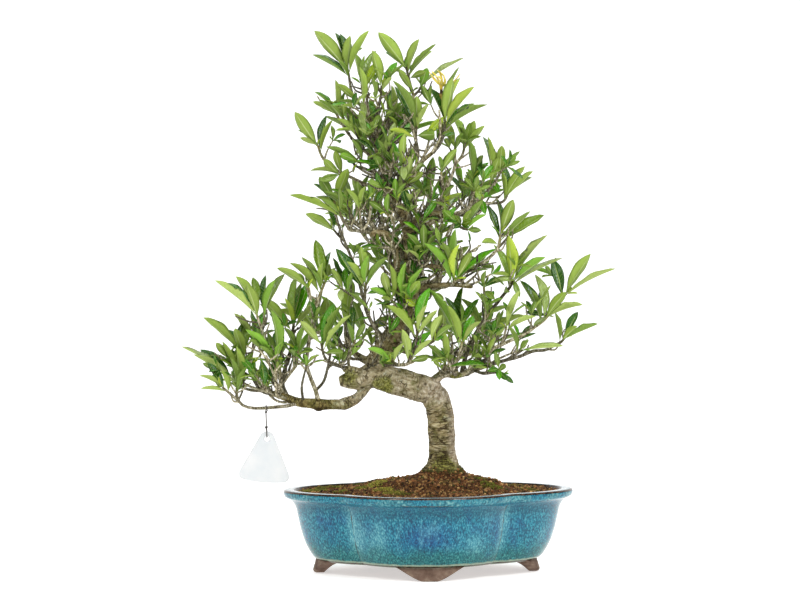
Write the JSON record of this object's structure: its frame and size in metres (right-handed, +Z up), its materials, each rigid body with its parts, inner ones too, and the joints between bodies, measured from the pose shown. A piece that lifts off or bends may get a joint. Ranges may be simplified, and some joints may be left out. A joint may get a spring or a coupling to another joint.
{
  "type": "gardenia bonsai in a pot",
  "caption": "Gardenia grown as a bonsai: bent trunk, leafy sprays and a faded bloom, in a four-lobed glazed pot with cloud feet and a blank hang tag.",
  "frame": {"origin": "middle of the footprint of the whole tree and pot, on the surface it stands on", "axes": "+Z up, +X to the right as seen from the front, +Y to the back"},
  "size_m": [0.4342, 0.2466, 0.541],
  "materials": {
    "glaze": "gloss",
    "soil": "matt",
    "bark": "matt",
    "leaves": "satin",
    "petals": "matt",
    "thread": "matt",
    "card": "satin"
  },
  "bodies": {
    "root": {"pot": "glaze", "soil": "soil", "trunk": "bark", "spray_left_tip": "leaves", "spray_left_low": "leaves", "spray_left_front": "leaves", "spray_left_back": "leaves", "spray_left_knob": "leaves", "spray_left_stub": "leaves", "spray_front_low": "leaves", "spray_right_lump": "leaves", "spray_right_rise": "leaves", "spray_right_second": "leaves", "spray_right_low": "leaves", "spray_right_dry": "leaves", "spray_mid_right": "leaves", "spray_mid_right_end": "leaves", "spray_core_right": "leaves", "spray_core_front": "leaves", "spray_mid_left": "leaves", "spray_left_knot": "leaves", "spray_core_upper": "leaves", "spray_right_hang": "leaves", "spray_right_end": "leaves", "spray_right_top": "leaves", "spray_bloom_stem": "leaves", "spray_top_middle": "leaves", "spray_left_upper": "leaves", "spray_left_high": "leaves", "spray_inner_top": "leaves", "spray_inner_right": "leaves", "spray_high_right": "leaves", "spray_apex_left": "leaves", "spray_apex_right": "leaves", "spray_back_low_left": "leaves", "spray_back_low_right": "leaves", "spray_back_middle": "leaves", "spray_back_left": "leaves", "spray_back_right": "leaves", "spray_back_top": "leaves", "faded_bloom": "petals", "tag_thread": "thread", "hang_tag": "card"}
  },
  "joints": []
}
